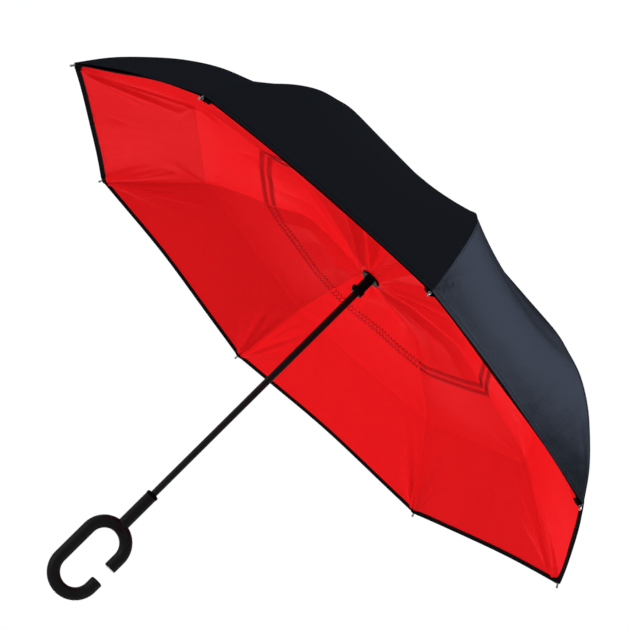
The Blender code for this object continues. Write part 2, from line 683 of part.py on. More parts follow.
def main():
    """Build the umbrella open, as it stands at rest."""
    clear_scene()
    matt_black = material("rubberised_black", "1b1b1d", 0.55, 0.0)
    black_plastic = material("black_plastic", "141416", 0.4, 0.0)
    painted_steel = material("painted_steel", "101012", 0.35, 0.4)
    bare_steel = material("bare_steel", "b8babd", 0.3, 1.0)
    plated_tip = material("plated_tip", "c9cbce", 0.25, 1.0)
    black_cloth = material("black_pongee", "17171a", 0.7, 0.0)
    red_cloth = material("red_pongee", "e3161c", 0.6, 0.0)
    make_handle(matt_black, black_plastic)
    make_shaft(painted_steel)
    make_runner(black_plastic, bare_steel)
    make_button(black_plastic, bare_steel)
    make_crown(black_plastic, bare_steel, black_plastic)
    make_struts(painted_steel)
    make_arms(painted_steel)
    make_outer_ribs(painted_steel)
    make_tips(plated_tip)
    make_panels(black_cloth, red_cloth)


main()
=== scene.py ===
"""Inverted umbrella, open: woven canopies, runner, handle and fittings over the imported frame.

All places are in metres, in the frame's own axes: +Z runs up the shaft, rib set 1 lies along +X,
and the origin is the centre of the handle's opening.
"""
import math
import random

import bpy
import numpy as np
from mathutils import Matrix, Vector


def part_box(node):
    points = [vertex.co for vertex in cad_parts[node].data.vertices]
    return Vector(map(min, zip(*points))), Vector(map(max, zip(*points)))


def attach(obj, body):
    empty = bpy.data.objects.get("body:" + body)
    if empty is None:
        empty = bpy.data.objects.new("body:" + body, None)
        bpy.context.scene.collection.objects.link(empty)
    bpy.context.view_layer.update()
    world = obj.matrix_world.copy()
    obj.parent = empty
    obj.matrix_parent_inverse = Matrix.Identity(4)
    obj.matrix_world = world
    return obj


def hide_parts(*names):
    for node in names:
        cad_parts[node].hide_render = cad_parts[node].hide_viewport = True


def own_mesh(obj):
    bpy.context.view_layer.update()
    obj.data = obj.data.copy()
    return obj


bl_info = {
    "name": "Inverted umbrella",
    "version": (1, 0, 0),
    "blender": (4, 5, 0),
    "location": "3D View > Sidebar > Umbrella",
    "description": "Builds the cloth, fittings and finishes of an inverted umbrella over its frame",
    "category": "Object",
}

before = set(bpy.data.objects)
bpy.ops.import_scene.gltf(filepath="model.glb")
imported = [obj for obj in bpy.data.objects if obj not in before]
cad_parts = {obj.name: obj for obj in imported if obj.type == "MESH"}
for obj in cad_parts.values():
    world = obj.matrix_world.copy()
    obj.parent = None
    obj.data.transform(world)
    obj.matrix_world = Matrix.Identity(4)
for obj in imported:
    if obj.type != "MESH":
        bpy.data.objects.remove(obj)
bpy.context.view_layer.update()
RIB_COUNT = sum(name.startswith("outer_rib_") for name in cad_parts)
GORE = math.tau / RIB_COUNT

# Lines of the two canopies over a rib, as shares of the canopy radius: (out, up from the rim plane)
OUTER_LINE = ((0.12, 0.4835), (0.28, 0.4406), (0.43, 0.4009), (0.57, 0.3635), (0.64, 0.3347),
              (0.72, 0.2957), (0.80, 0.2366), (0.87, 0.1683), (0.94, 0.0878))
INNER_LINE = ((0.14, 0.235), (0.24, 0.251), (0.33, 0.256), (0.44, 0.229), (0.56, 0.207), (0.64, 0.190),
              (0.69, 0.172))
# Steps of the smooth curve between two places of a line
LINE_STEPS = 8
# How far mid-gore stands out from the chord of its ribs, or below 0 sinks in, in the same shares
OUTER_BULGE = ((0.05, 0), (0.12, -0.0030), (0.28, -0.0074), (0.43, -0.0138), (0.57, -0.0245),
               (0.68, -0.0294), (0.80, -0.0162), (0.90, 0.0009), (1.00, 0.0177))
INNER_BULGE = ((0.05, 0), (0.30, -0.0060), (0.69, -0.0060), (0.85, 0.0030), (1.00, 0.0150))
# Where the cloth crosses the links' hinges, and where the two zigzag rows are sewn, in the same shares
KNEE_SHARE = 0.57
KNUCKLE_SHARE = 0.69
RING_SHARES = (0.442, 0.469)
# Share of its reach that the rim loses at mid-gore, where the tension draws it in
RIM_DRAW = 0.0116
# Radius of the ring where a canopy is clamped, and its gap to the fitting there, in metres
CLAMP_RADIUS = 0.0236
CLAMP_GAP = 0.0007
# Gap between the cloths at a rib's corner, and between their hems elsewhere, in metres
CORNER_GAP = 0.0058
HEM_GAP = 0.0016
# Mesh rows of the hem, its edge and its stitches, as shares of its depth, and the stitches' pitch
HEM_ROWS = (1.35, 1.02, 0.96, 0.5, 0.08, 0.0)
HEM_EDGE = 0.96
HEM_STITCH = 0.86
HEM_PITCH = 0.0034
# How far the inner skirt runs on behind the hub's edge at mid-gore, in metres, and the share at a rib
TONGUE = 0.022
LEAST_TONGUE = 0.03
# Name of the painted light and shade on the cloth: a factor that makes each gore's colour lighter or
# darker. Then the gores' factors from rib set 1 on
PAINTED_SHADE_NAME = "painted_shade"
EVEN_PAINTED_SHADES = (1.0,) * RIB_COUNT
# Painted light and shade of the red cloth, lighter or darker gore by gore: first over the hub, then over
# the skirt
RED_HUB_PAINTED_SHADES = (0.97, 1.12, 0.93, 1.15, 0.92, 1.05, 1.00, 1.05)
RED_SKIRT_PAINTED_SHADES = (0.92, 1.06, 0.91, 0.98, 0.97, 1.04, 1.00, 0.99)
# Spacing of the cloth's mesh: fine for the inner canopy's folds, wider on the smooth outer one
INNER_MESH_STEP = 0.0050
OUTER_MESH_STEP = 0.0100
# Tension folds that fan out from a tip: (turn from the line to the hub in degrees, reach, height)
TIP_FAN = ((1.5, 0.22, 0.0036), (6.0, 0.16, 0.0042), (10.5, 0.20, 0.0052), (16.0, 0.16, 0.0046),
           (24.0, 0.13, 0.0034))
# Wedges that run out from the runner over a gore: (turn in degrees, reach, width, height, lean)
HUB_WEDGES = (
    ((-12, 0.26, 0.034, 0.0090, 0.55), (5, 0.22, 0.020, -0.0050, -0.4), (16, 0.28, 0.026, 0.0080, -0.5)),
    ((-15, 0.22, 0.022, 0.0075, -0.5), (-4, 0.26, 0.022, -0.0055, 0.4), (10, 0.27, 0.034, 0.0090, 0.55)),
)
# Turns of the short creases round a knuckle, in degrees
KNUCKLE_CREASES = (-38, 4, 34)
# The photograph's view: turn, rise and roll in degrees, distance and shifts in canopy radii, and focal
# length in sensor widths
VIEW_ANGLES = (-6.7840, -14.6439, 45.3199)
VIEW_DISTANCE = 6.70173
VIEW_SHIFT = (-0.016908, 0.035944)
VIEW_FOCUS = 3.821865
# The floor's height and half its side, in metres
FLOOR_LEVEL = -1.1
FLOOR_REACH = 30


def linear(hex_code):
    """Turn an sRGB hex colour to linear RGB."""
    channels = (int(hex_code[i:i + 2], 16) / 255 for i in (0, 2, 4))
    return tuple(c / 12.92 if c <= 0.04045 else ((c + 0.055) / 1.055) ** 2.4 for c in channels)


def length(name, description, default):
    """Declare one size that a user can change."""
    return bpy.props.FloatProperty(name=name, description=description, default=default, min=0.0001,
                                   precision=4, unit="LENGTH", subtype="DISTANCE")


def colour(name, description, hex_code):
    """Declare one colour that a user can change."""
    return bpy.props.FloatVectorProperty(name=name, description=description, default=linear(hex_code),
                                         size=3, min=0.0, max=1.0, subtype="COLOR")


class UmbrellaSizes(bpy.types.PropertyGroup):
    """Sizes of the cloth and the fittings."""
    canopy_radius: length("Canopy radius", "From the shaft to a rib tip", 0.530)
    rim_height: length("Rim height", "From the grip's centre up to the rim plane", 0.4795)
    hem_depth: length("Hem depth", "Width of the black hem inside the rim", 0.0095)
    seam_width: length("Seam width", "Half width of the sewn seam over a rib", 0.0024)
    seam_height: length("Seam height", "How far a seam stands off the cloth", 0.0005)
    stitch_width: length("Stitch width", "Width of one zigzag row", 0.0096)
    stitch_pitch: length("Stitch pitch", "Length of one zigzag", 0.0068)
    thread: length("Thread", "Thickness of the sewing thread", 0.0007)
    grip_height: length("Grip height", "Height of the C", 0.1396)
    grip_width: length("Grip width", "Width of the C", 0.0820)
    grip_diameter: length("Grip diameter", "Diameter of the C's round bar", 0.0191)
    mouth_gap: length("Mouth gap", "Opening between the ends of the C", 0.0245)
    mouth_drop: length("Mouth drop", "How far the mouth lies below the middle", 0.0035)
    neck_diameter: length("Neck diameter", "Diameter of the grip's neck", 0.0182)


class UmbrellaColours(bpy.types.PropertyGroup):
    """Colours of the cloth and the fittings."""
    inner_cloth: colour("Inner cloth", "Dyed polyester of the inner canopy", "e8181c")
    outer_cloth: colour("Outer cloth", "Dyed polyester of the outer canopy", "09090a")
    hem_cloth: colour("Hem", "Binding round the rim", "0a0a0b")
    ring_thread: colour("Ring thread", "Thread of the zigzag rows", "980a10")
    grip_coat: colour("Grip coat", "Soft coating of the grip", "0e0e10")
    mouldings: colour("Mouldings", "Moulded nylon of hub, crown and collar", "0c0c0d")
    paint: colour("Paint", "Paint of the shaft and the ribs", "0c0c0d")
    plating: colour("Plating", "Plated tips and wires", "7c7e82")
    backdrop: colour("Backdrop", "Floor and backdrop", "ffffff")


def chosen(context):
    """Give the sizes and the colours that the user has set."""
    return context.scene.umbrella_sizes, context.scene.umbrella_colours


def add_node(tree, kind, sockets=None, links=None, **settings):
    """Add a shader node, fill its sockets, set its own settings and link its inputs."""
    node = tree.nodes.new(kind)
    for name, value in settings.items():
        setattr(node, name, value)
    for key, value in (sockets or {}).items():
        node.inputs[key].default_value = value
    for key, source in (links or {}).items():
        tree.links.new(source, node.inputs[key])
    return node


def blank_material(name):
    """Give a new material with only its output."""
    material = bpy.data.materials.new(name)
    material.use_nodes = True
    material.node_tree.nodes.clear()
    output = material.node_tree.nodes.new("ShaderNodeOutputMaterial")
    return material, material.node_tree, output


def shade_with(tree, output, sockets, links):
    """Put the one surface shader on a material."""
    shader = add_node(tree, "ShaderNodeBsdfPrincipled", sockets, links)
    tree.links.new(shader.outputs["BSDF"], output.inputs["Surface"])


def pongee(name, tint, roughness, gloss, gloss_tint, spread):
    """Woven polyester pongee: fine plain weave, calendered to a soft satin that catches side light."""
    material, tree, output = blank_material(name)
    cloth = add_node(tree, "ShaderNodeTexCoord").outputs["UV"]
    # Threads lie 0.25 mm apart in the real cloth. They are drawn 2 mm apart, so that they show: at a scale
    # of 1 a wave texture has a band every 314 mm.
    warp, weft = (add_node(tree, "ShaderNodeTexWave",
                           {"Scale": 1000 / math.tau, "Distortion": 0.6, "Detail": 1.0}, {"Vector": cloth},
                           wave_type="BANDS", bands_direction=way) for way in "XY")
    weave = add_node(tree, "ShaderNodeMath", None, {0: warp.outputs["Fac"], 1: weft.outputs["Fac"]},
                     operation="MAXIMUM")
    # Handling leaves soft creases about 45 mm long, and the dye takes in patches of about 17 mm.
    crease = add_node(tree, "ShaderNodeTexNoise", {"Scale": 22.0, "Detail": 3.0, "Roughness": 0.55},
                      {"Vector": cloth})
    dye = add_node(tree, "ShaderNodeTexNoise", {"Scale": 60.0, "Detail": 4.0, "Roughness": 0.6},
                   {"Vector": cloth})
    deep = tuple(channel * (1 - spread) for channel in tint)
    light = tuple(min(1.0, channel * (1 + spread)) for channel in tint)
    shade = add_node(tree, "ShaderNodeMix", {6: (*deep, 1), 7: (*light, 1)}, {0: dye.outputs["Fac"]},
                     data_type="RGBA")
    # Painted light and shade: the colour of each gore, and of each of its zones, is made lighter or darker
    # by a fixed factor that stands in for how the light falls on it.
    painted_shade = add_node(tree, "ShaderNodeAttribute", attribute_name=PAINTED_SHADE_NAME)
    graded = add_node(tree, "ShaderNodeVectorMath", None, {0: shade.outputs[2], 1: painted_shade.outputs["Vector"]},
                      operation="MULTIPLY")
    fine = add_node(tree, "ShaderNodeBump", {"Strength": 0.12, "Distance": 0.0003},
                    {"Height": weave.outputs["Value"]})
    soft = add_node(tree, "ShaderNodeBump", {"Strength": 0.35, "Distance": 0.004},
                    {"Height": crease.outputs["Fac"], "Normal": fine.outputs["Normal"]})
    # The fibres' gloss stays weak at every angle, which an even share of gloss over a matt ground gives.
    ground = add_node(tree, "ShaderNodeBsdfPrincipled", {"Roughness": 0.8, "Specular IOR Level": 0.0},
                      {"Base Color": graded.outputs["Vector"], "Normal": soft.outputs["Normal"]})
    satin = add_node(tree, "ShaderNodeBsdfGlossy", {"Color": (*gloss_tint, 1), "Roughness": roughness},
                     {"Normal": soft.outputs["Normal"]})
    mix = add_node(tree, "ShaderNodeMixShader", {0: gloss},
                   {1: ground.outputs["BSDF"], 2: satin.outputs["BSDF"]})
    tree.links.new(mix.outputs["Shader"], output.inputs["Surface"])
    return material


def raised(name, tint, scale, strength, depth, sockets):
    """Build a finish of one colour that one fine noise raises a little."""
    material, tree, output = blank_material(name)
    place = add_node(tree, "ShaderNodeTexCoord").outputs["Object"]
    noise = add_node(tree, "ShaderNodeTexNoise", {"Scale": scale, "Detail": 2.0}, {"Vector": place})
    bump = add_node(tree, "ShaderNodeBump", {"Strength": strength, "Distance": depth},
                    {"Height": noise.outputs["Fac"]})
    shade_with(tree, output, {"Base Color": (*tint, 1), **sockets}, {"Normal": bump.outputs["Normal"]})
    return material


def sewing_thread(name, tint):
    """Spun polyester thread: round, dull and a little darker than its cloth."""
    # The twist shows as bumps about 1.1 mm long.
    return raised(name, tint, 900.0, 0.3, 0.0002, {"Roughness": 0.7, "Specular IOR Level": 0.05})


def painted_steel(name, tint):
    """Powder-painted steel: a thin satin skin with a faint orange peel over the metal."""
    # The peel's dimples lie about 1.4 mm apart.
    return raised(name, tint, 700.0, 0.12, 0.0001,
                  {"Roughness": 0.38, "IOR": 1.5, "Specular IOR Level": 0.1})


def moulding(name, tint, roughness, grain_mm, depth, specular):
    """Injection moulded or coated plastic: even colour, with the fine spark-eroded grain of its mould."""
    material, tree, output = blank_material(name)
    place = add_node(tree, "ShaderNodeTexCoord").outputs["Object"]
    grain = add_node(tree, "ShaderNodeTexNoise", {"Scale": 1000.0 / grain_mm, "Detail": 3.0},
                     {"Vector": place})
    # Touch wears the grain in patches about 22 mm across.
    wear = add_node(tree, "ShaderNodeTexNoise", {"Scale": 45.0, "Detail": 3.0, "Roughness": 0.6},
                    {"Vector": place})
    rub = add_node(tree, "ShaderNodeMapRange", {"To Min": roughness - 0.06, "To Max": roughness + 0.08},
                   {"Value": wear.outputs["Fac"]})
    bump = add_node(tree, "ShaderNodeBump", {"Strength": depth, "Distance": 0.0001},
                    {"Height": grain.outputs["Fac"]})
    shade_with(tree, output, {"Base Color": (*tint, 1), "IOR": 1.5, "Specular IOR Level": specular},
               {"Roughness": rub.outputs["Result"], "Normal": bump.outputs["Normal"]})
    return material


def plated_metal(name, tint, roughness):
    """Nickel-plated steel: bright, with the fine draw lines of wire under the plating."""
    material, tree, output = blank_material(name)
    place = add_node(tree, "ShaderNodeTexCoord").outputs["Object"]
    # Draw lines are finer than 0.1 mm. They are drawn as a mottle of about 0.8 mm, so that they show.
    lines = add_node(tree, "ShaderNodeTexNoise", {"Scale": 1200.0, "Detail": 2.0}, {"Vector": place})
    rub = add_node(tree, "ShaderNodeMapRange", {"To Min": roughness - 0.05, "To Max": roughness + 0.1},
                   {"Value": lines.outputs["Fac"]})
    shade_with(tree, output, {"Base Color": (*tint, 1), "Metallic": 1.0},
               {"Roughness": rub.outputs["Result"]})
    return material


def smooth_line(sizes, shares, *more):
    """Run a smooth curve through the places (out, up) that a line's shares give, and on through more."""
    radius = sizes.canopy_radius
    points = np.array([(out * radius, sizes.rim_height + up * radius) for out, up in shares] + list(more))
    ends = np.vstack([2 * points[0] - points[1], points, 2 * points[-1] - points[-2]])
    curve = []
    for before, start, end, after in zip(ends, ends[1:], ends[2:], ends[3:]):
        for t in np.arange(LINE_STEPS) / LINE_STEPS:
            curve.append((2 * start + (end - before) * t
                          + (2 * before - 5 * start + 4 * end - after) * t ** 2
                          + (3 * start - before - 3 * end + after) * t ** 3) / 2)
    return np.array(curve + [points[-1]])


def unit(turn):
    """Give the unit vector at a turn."""
    return np.array([math.cos(turn), math.sin(turn)])


def fold(place, start, heading, reach, width, height, lean=0.0, crest=2):
    """Raise one tension fold: narrow where it starts, wider, then gone. A crest of 1 is sharp, 2 round."""
    direction = unit(heading)
    offset = place - np.array(start)
    ahead = offset @ direction
    aside = offset @ np.array([-direction[1], direction[0]])
    run = np.clip(ahead / reach, 0, 1)
    spread = width * (0.35 + 0.9 * run) * (1 + lean * np.sign(aside))
    rise = np.sin(np.pi * run ** 0.6)
    return height * rise * np.exp(-np.abs(aside / spread) ** crest)


class Canopy:
    """One canopy's cloth as a grid of points for each gore, worked out once and then cut into pieces."""

    def __init__(self, sizes, line, bulges, break_out, facing, folds, mesh_step, lies_on=None):
        self.sizes = sizes
        self.mesh_step = mesh_step
        self.facing = facing
        along = np.concatenate([[0], np.cumsum(np.linalg.norm(np.diff(line, axis=0), axis=1))])
        self.total = float(along[-1])
        self.break_at = float(np.interp(break_out, line[:, 0], along))
        # The mesh's rows are even at first and close together over the hem.
        tail = [self.total - sizes.hem_depth * share for share in HEM_ROWS]
        even = np.linspace(0, tail[0], max(2, round(tail[0] / mesh_step)), endpoint=False)
        self.stations = np.unique(np.concatenate([even, tail, [self.break_at]]))
        self.line = np.column_stack([np.interp(self.stations, along, line[:, k]) for k in range(2)])
        break_row = int(np.argmin(abs(self.stations - self.break_at)))
        self.upper, self.lower = slice(0, break_row + 1), slice(break_row, None)
        self.hem_row = int(np.argmin(abs(self.stations - (self.total - sizes.hem_depth * HEM_EDGE))))
        shares = self.line[:, 0] / sizes.canopy_radius
        self.bulge = np.interp(shares, *np.transpose(bulges)) * sizes.canopy_radius
        self.gores = [self.shape_gore(index, folds, lies_on) for index in range(RIB_COUNT)]

    def across(self, chord):
        """Give distances over one gore's chord: close together at the two seams."""
        seam = self.sizes.seam_width
        near = [0, seam * 0.5, seam, seam * 1.25]
        # Half a gore is about 0.20 m wide at the rim.
        spread = np.linspace(0, 1, round(0.20 / self.mesh_step)) ** 1.35
        half = np.concatenate([near, (near[-1] + (chord / 2 - near[-1]) * spread)[1:]])
        return np.concatenate([half, chord - half[-2::-1]])

    def shape_gore(self, index, folds, lies_on):
        """Stretch a gore between its two ribs, curve it, draw its hem in and raise its folds."""
        out, up = self.line[:, 0], self.line[:, 1]
        chords = 2 * out * math.sin(GORE / 2)
        apart = np.array([self.across(chord) for chord in chords])
        share = apart / chords[:, None]
        middle = 4 * share * (1 - share)
        slope = np.gradient(self.line, axis=0)
        slope /= np.linalg.norm(slope, axis=1, keepdims=True)
        rise = self.bulge[:, None] * middle
        # The rim's draw is felt from 0.55 of the radius on.
        into_hem = np.clip((out / self.sizes.canopy_radius - 0.55) / 0.45, 0, 1)[:, None] ** 2
        draw = 1 - RIM_DRAW * into_hem * middle
        near, far, outward = unit(0), unit(GORE), unit(GORE / 2)
        flat = out[:, None, None] * ((1 - share)[..., None] * near + share[..., None] * far)
        flat = (flat - (slope[:, 1:2] * rise)[..., None] * outward) * draw[..., None]
        grid = np.dstack([flat, up[:, None] + slope[:, 0:1] * rise])
        hold = np.minimum(apart, chords[:, None] - apart)
        if lies_on is not None:
            grid += self.reach_for(lies_on, grid, share, hold)
        down = np.repeat(self.stations[:, None], share.shape[1], axis=1)
        seen = np.dstack([down, apart - chords[:, None] / 2])
        # The sewn seams hold the folds down over their last 12 mm.
        lift = folds(self, index, seen, chords, middle) * np.clip(hold / 0.012, 0, 1) ** 0.8
        seam = (hold < self.sizes.seam_width * 1.1) * self.sizes.seam_height
        hem = (self.stations > self.total - self.sizes.hem_depth)[:, None] * self.sizes.seam_height
        grid = grid + self.normals_of(grid) * (lift + np.maximum(seam, hem))[..., None]
        normal = self.normals_of(grid)
        cosine, sine = unit(index * GORE)
        turn = np.array([[cosine, sine, 0], [-sine, cosine, 0], [0, 0, 1]])
        # Each gore has its own place on the cloth that it is cut from, 0.37 m from the next.
        uv = np.dstack([apart + index * 0.37, down])
        return {"flat": grid, "grid": grid @ turn, "normal": normal @ turn, "uv": uv, "share": share,
                "chords": chords}

    def reach_for(self, other, grid, share, hold):
        """Bend the last rows up, so that the hem lies against the other canopy's hem between the ribs."""
        hem = other.gores[0]["flat"][-1]
        hem_share = other.gores[0]["share"][-1]
        target = np.column_stack([np.interp(share[-1], hem_share, hem[:, k]) for k in range(3)])
        target[:, 2] -= HEM_GAP
        # The bend takes in the last 0.15 m before the rim. It begins 3 mm from a rib and is whole at 8 mm.
        into_hem = np.clip((self.stations - self.total + 0.15) / 0.15, 0, 1) ** 2
        beside_rib = np.clip((hold - 0.003) / 0.005, 0, 1)
        beside_rib = beside_rib ** 2 * (3 - 2 * beside_rib)
        return (target - grid[-1])[None] * (into_hem[:, None] * beside_rib)[..., None]

    def normals_of(self, grid):
        """Give the cloth's unit normals on the side that shows: up for a facing of 1, down for -1."""
        normal = np.cross(np.gradient(grid, axis=0), np.gradient(grid, axis=1))
        return normal / np.linalg.norm(normal, axis=2, keepdims=True) * self.facing

    def point_at(self, index, station, share):
        """Give a place on a gore, and the normal there, at a distance along it and a share across it."""
        gore = self.gores[index]
        row = float(np.interp(station, self.stations, np.arange(len(self.stations))))
        low = min(int(row), len(self.stations) - 2)
        mix = row - low
        columns = np.arange(gore["share"].shape[1])
        place, normal = np.zeros(3), np.zeros(3)
        for r, weight in ((low, 1 - mix), (low + 1, mix)):
            column = np.interp(share, gore["share"][r], columns)
            first = min(int(column), len(columns) - 2)
            part = column - first
            for found, values in ((place, gore["grid"]), (normal, gore["normal"])):
                found += (values[r, first] * (1 - part) + values[r, first + 1] * part) * weight
        return Vector(place), Vector(normal).normalized()


def fan_home(canopy, chords, side):
    """Give a gore's corner as it is seen from its middle line, and the heading from there to the hub."""
    half = side * chords[-1] / 2
    return (canopy.total, half), math.atan2(-half, -canopy.total)


def slack(seen, seeds, down, over):
    """Give the long swell of slack cloth, whose wave lengths are tau times the two sizes."""
    phases = seeds.uniform(0, 6), seeds.uniform(0, 6)
    return np.sin(seen[..., 0] / down + phases[0]) * np.sin(seen[..., 1] / over + phases[1])


def red_folds(canopy, index, seen, chords, middle):
    """Folds of the inner cloth: fans from both tips, wedges from the hub and creases from the knuckles."""
    seeds = random.Random(40 + index)
    lift = np.zeros(seen.shape[:2])
    for side in (-1, 1):
        corner, home = fan_home(canopy, chords, side)
        for step, (turn, reach, height) in enumerate(TIP_FAN):
            heading = home + side * math.radians(turn + seeds.uniform(-1.5, 1.5))
            lift += fold(seen, corner, heading, reach * seeds.uniform(0.85, 1.15), 0.0048 + 0.0006 * step,
                         height * seeds.uniform(0.8, 1.2))
        knuckle = (canopy.break_at, side * float(np.interp(canopy.break_at, canopy.stations, chords)) / 2)
        for spread in KNUCKLE_CREASES:
            heading = math.pi / 2 * -side + math.radians(spread + seeds.uniform(-8, 8))
            lift += fold(seen, knuckle, heading, seeds.uniform(0.06, 0.10), 0.007,
                         seeds.uniform(0.0008, 0.0020))
    for turn, reach, width, height, lean in HUB_WEDGES[index % len(HUB_WEDGES)]:
        lift += fold(seen, (0.0, 0.0), math.radians(turn), reach, width, height, lean, 1.15)
    for _ in range(5):
        spot = (seeds.uniform(0.35, 0.9) * canopy.total, seeds.uniform(-0.3, 0.3) * chords[-1])
        lift += fold(seen, spot, seeds.uniform(0, math.tau), seeds.uniform(0.03, 0.07),
                     seeds.uniform(0.006, 0.011), seeds.choice((-1, 1)) * seeds.uniform(0.0006, 0.0014))
    return lift + 0.0016 * slack(seen, seeds, 0.046, 0.060) * middle


def black_folds(canopy, index, seen, chords, middle):
    """Folds of the outer cloth: it is pulled smooth, with short creases at the tips only."""
    seeds = random.Random(80 + index)
    lift = np.zeros(seen.shape[:2])
    for side in (-1, 1):
        corner, home = fan_home(canopy, chords, side)
        for step in range(3):
            heading = home + side * math.radians(seeds.uniform(-3, 4) + 9 * step)
            lift += fold(seen, corner, heading, seeds.uniform(0.08, 0.15), seeds.uniform(0.004, 0.007),
                         seeds.choice((-1, 1)) * seeds.uniform(0.0004, 0.0010))
    return lift + 0.0009 * slack(seen, seeds, 0.060, 0.070) * middle


def add_object(name, data):
    """Put an object in the scene."""
    made = bpy.data.objects.new(name, data)
    bpy.context.scene.collection.objects.link(made)
    return made


def set_axes(made, place, axes):
    """Place an object, with its three axes along the given lines."""
    made.matrix_world = Matrix.Translation(place) @ Matrix(axes).transposed().to_4x4()


def mesh_object(name, places, faces, finishes, slots=None):
    """Put a mesh in the scene, with its finishes and the slot of each face."""
    mesh = bpy.data.meshes.new(name)
    mesh.from_pydata([tuple(place) for place in places], [], faces)
    for finish in finishes:
        mesh.materials.append(finish)
    if slots is not None:
        mesh.polygons.foreach_set("material_index", slots)
    mesh.update()
    return add_object(name, mesh)


def shifted(faces, by):
    """Number faces on from the corners that a mesh has already."""
    return [tuple(corner + by for corner in face) for face in faces]


def ring_faces(rings, sides):
    """Join rings of corners with four-sided faces."""
    faces = []
    for ring in range(rings - 1):
        for i in range(sides):
            corner, beside = ring * sides + i, ring * sides + (i + 1) % sides
            faces.append((corner, beside, beside + sides, corner + sides))
    return faces


def set_painted_shade(mesh, painted_shade):
    """Keep on a mesh its painted light and shade: the factor that makes its colour lighter or darker."""
    layer = mesh.attributes.new(PAINTED_SHADE_NAME, "FLOAT_VECTOR", "POINT")
    layer.data.foreach_set("vector", [painted_shade] * (3 * len(mesh.vertices)))


def thread_leg(start, end, normal, thickness):
    """Give the eight corners and six faces of one leg of thread: flat, bevelled above, sunk in a little."""
    along = (end - start).normalized()
    side = along.cross(normal).normalized() * thickness / 2
    lift = normal * thickness * 0.8
    start = start - along * thickness * 0.3
    end = end + along * thickness * 0.3
    corners = []
    for place in (start, end):
        corners += [place - side - lift * 0.2, place + side - lift * 0.2, place + side * 0.6 + lift,
                    place - side * 0.6 + lift]
    return corners, [(0, 1, 2, 3), (7, 6, 5, 4), (0, 4, 5, 1), (1, 5, 6, 2), (2, 6, 7, 3), (3, 7, 4, 0)]


def sewn_row(canopy, index, station, side, inset, pitch, gap=0.0, swing=0.0, fineness=1.0):
    """Sew a row over half a gore, clear of its seam: straight, with gaps, or as a zigzag that swings."""
    first, last = (inset, 0.5) if side > 0 else (0.5, 1 - inset)
    chord = float(np.interp(station, canopy.stations, canopy.gores[index]["chords"]))
    count = max(2, round(abs(last - first) * chord / pitch))
    corners, faces = [], []
    for step in range(count):
        ends = []
        for end, place in ((step, step + gap), (step + 1, step + 1 - gap)):
            share = first + (last - first) * place / count
            ends.append(canopy.point_at(index, station + (swing if end % 2 else -swing), share))
        made, sides = thread_leg(ends[0][0], ends[1][0], ends[0][1], canopy.sizes.thread * fineness)
        faces += shifted(sides, len(corners))
        corners += made
    return corners, faces


def tongue_rows(canopy, index, row, columns):
    """Carry a skirt on behind the hub's edge, furthest at mid-gore, so that no slit opens as it folds."""
    gore = canopy.gores[index]
    shares = gore["share"][row, columns]
    places, normals = [], []
    for part in (1.0, 0.75, 0.5, 0.25):
        found = []
        for share in shares:
            back = TONGUE * part * (LEAST_TONGUE + 4 * share * (1 - share))
            found.append(canopy.point_at(index, canopy.stations[row] - back, share))
        # The tongue lies 0.6 mm behind the hub's cloth.
        places.append([point - normal * 0.0006 for point, normal in found])
        normals.append([normal for _, normal in found])
    uv = np.repeat(gore["uv"][row:row + 1, columns], len(places), axis=0)
    return np.array(places), np.array(normals), uv


def cloth_piece(name, canopy, index, rows, side, finishes, painted_shade, sewn=(), bound=False):
    """Cut half a gore's rows out of a canopy, with its stitches and its own smooth normals.

    A bound piece has its hem in the binding's finish, and a tongue along its other edge.
    """
    gore = canopy.gores[index]
    middle = gore["share"].shape[1] // 2
    columns = slice(0, middle + 1) if side > 0 else slice(middle, None)
    grid, normal, uv = (gore[values][rows, columns] for values in ("grid", "normal", "uv"))
    first_row = rows.start or 0
    if bound:
        tongue = tongue_rows(canopy, index, first_row, columns)
        first_row -= len(tongue[0])
        grid, normal, uv = (np.concatenate(pair) for pair in zip(tongue, (grid, normal, uv)))
    count, wide = grid.shape[:2]
    places = grid.reshape(-1, 3).tolist()
    normals = normal.reshape(-1, 3).tolist()
    coordinates = uv.reshape(-1, 2).tolist()
    # The faces look to the side that shows: up on the outer canopy, down on the inner one.
    second, last = (wide, 1) if canopy.facing > 0 else (1, wide)
    faces, slots = [], []
    for i in range(count - 1):
        for j in range(wide - 1):
            corner = i * wide + j
            faces.append((corner, corner + second, corner + wide + 1, corner + last))
            slots.append(2 if bound and first_row + i >= canopy.hem_row else 0)
    for corners, sides in sewn:
        faces += shifted(sides, len(places))
        slots += [1] * len(sides)
        places += corners
    # The stitches' corners keep normals of their own.
    stitched = len(places) - len(normals)
    normals += [(0.0, 0.0, 0.0)] * stitched
    coordinates += [(0.0, 0.0)] * stitched
    made = mesh_object(name, places, faces, finishes, slots)
    mesh = made.data
    layer = mesh.uv_layers.new(name="cloth")
    for loop in mesh.loops:
        layer.data[loop.index].uv = coordinates[loop.vertex_index]
    # Painted light and shade: the factor that makes this piece's colour lighter or darker
    set_painted_shade(mesh, painted_shade)
    mesh.shade_smooth()
    mesh.normals_split_custom_set_from_vertices(normals)
    return made


def fold_away(piece, canopy, rows):
    """Give a piece a copy of its mesh of its own; the direction along its rows is worked out but not used.
    """
    line = canopy.line[rows]
    along = line[-1] - line[0]
    along = Vector((along[0], 0, along[1])).normalized()
    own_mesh(piece)


def declare_cloth(canopy, rows, tongue):
    """Work out how large the piece was cut, from its rows of widths, its length and its tongue; the area is
    not kept or given back.
    """
    widths = canopy.gores[0]["chords"][rows] / 2
    stations = canopy.stations[rows]
    area = float(((widths[1:] + widths[:-1]) / 2 * np.diff(stations)).sum())
    area += tongue * float(widths[0]) * (LEAST_TONGUE + 2 / 3)


